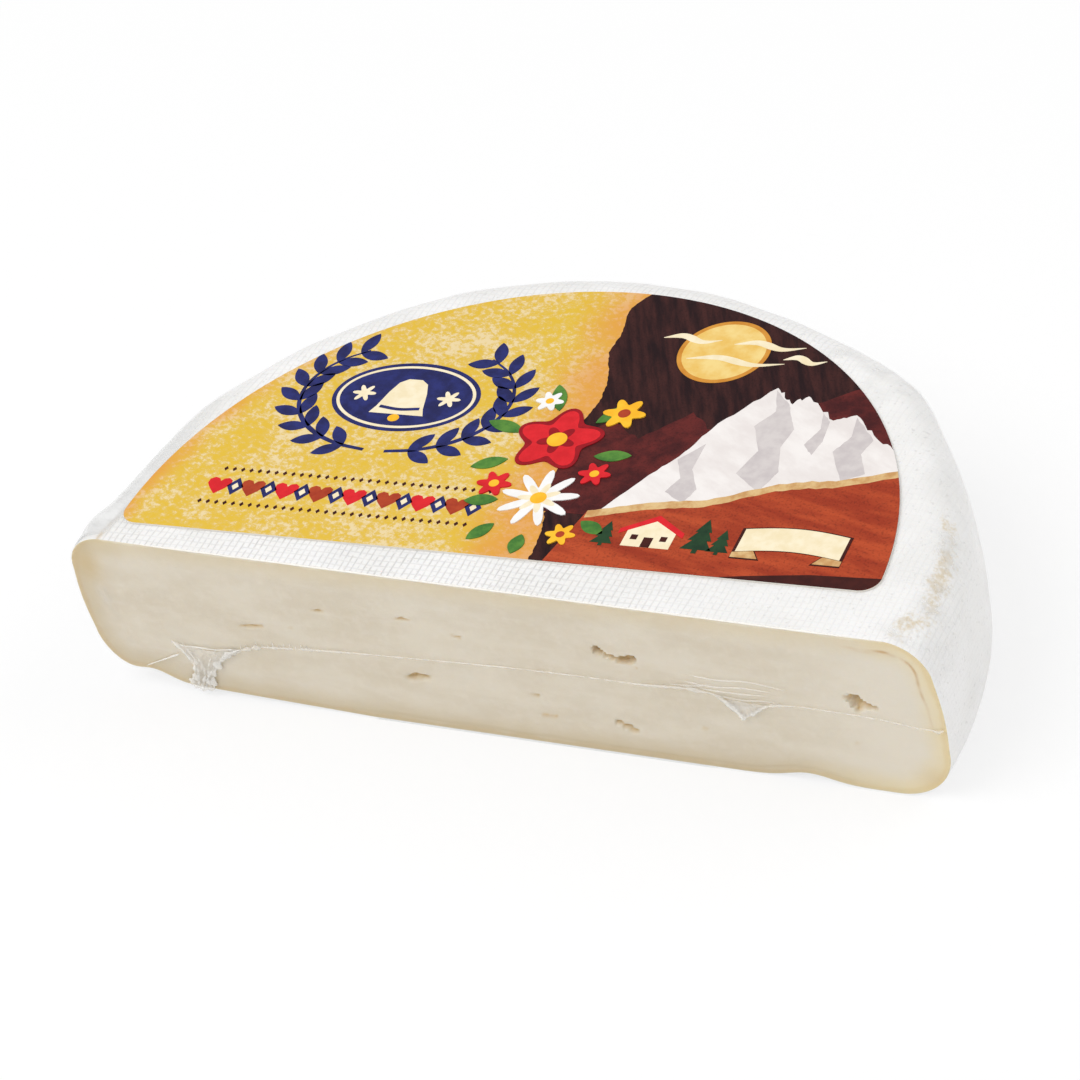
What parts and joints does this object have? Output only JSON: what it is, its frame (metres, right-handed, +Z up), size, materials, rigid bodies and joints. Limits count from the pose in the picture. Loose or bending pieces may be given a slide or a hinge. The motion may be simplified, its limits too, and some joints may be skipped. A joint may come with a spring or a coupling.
{
  "type": "reblochon half wheel",
  "caption": "Half of a small round soft cheese with a pale rind, cut straight across, sealed in clear film with a half-disc label on its top.",
  "frame": {"origin": "on the surface that the pack stands on, under the middle of its bounding box", "axes": "+Z up; the flat cut face looks along -Y and the curved rind along +Y; the straight cut runs along X"},
  "size_m": [0.1352, 0.0728, 0.0286],
  "materials": {
    "cheese": "soft matt rind and smooth moist cut paste",
    "film": "clear, glossy",
    "label": "printed, satin gloss"
  },
  "bodies": {
    "root": {"half_wheel": "cheese", "film": "film", "label": "label"}
  },
  "joints": []
}
